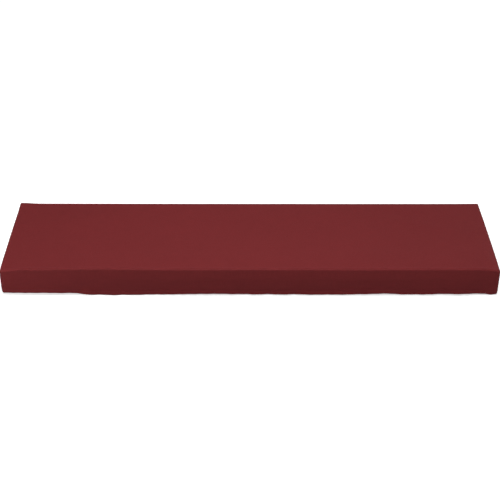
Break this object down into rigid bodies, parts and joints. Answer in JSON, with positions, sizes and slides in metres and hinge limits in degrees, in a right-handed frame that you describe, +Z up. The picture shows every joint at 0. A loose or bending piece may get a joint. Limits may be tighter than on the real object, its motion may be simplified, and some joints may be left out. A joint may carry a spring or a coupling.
{
  "type": "piano cover",
  "caption": "Fitted dust cover of matte deep red cloth for a long, low stage piano: a shallow box, open underneath, with a flat top and short hanging skirts.",
  "frame": {"origin": "centre of the underside of the top panel, where the instrument's top carries the cover", "axes": "+X along the length, to the right seen from the front; -Y to the front; +Z up"},
  "size_m": [1.3036, 0.3528, 0.0812],
  "materials": {
    "cover_cloth": "matte, fine plain weave"
  },
  "bodies": {
    "root": {"top_panel": "cover_cloth", "front_panel": "cover_cloth", "back_panel": "cover_cloth", "left_end_panel": "cover_cloth", "right_end_panel": "cover_cloth"}
  },
  "joints": []
}
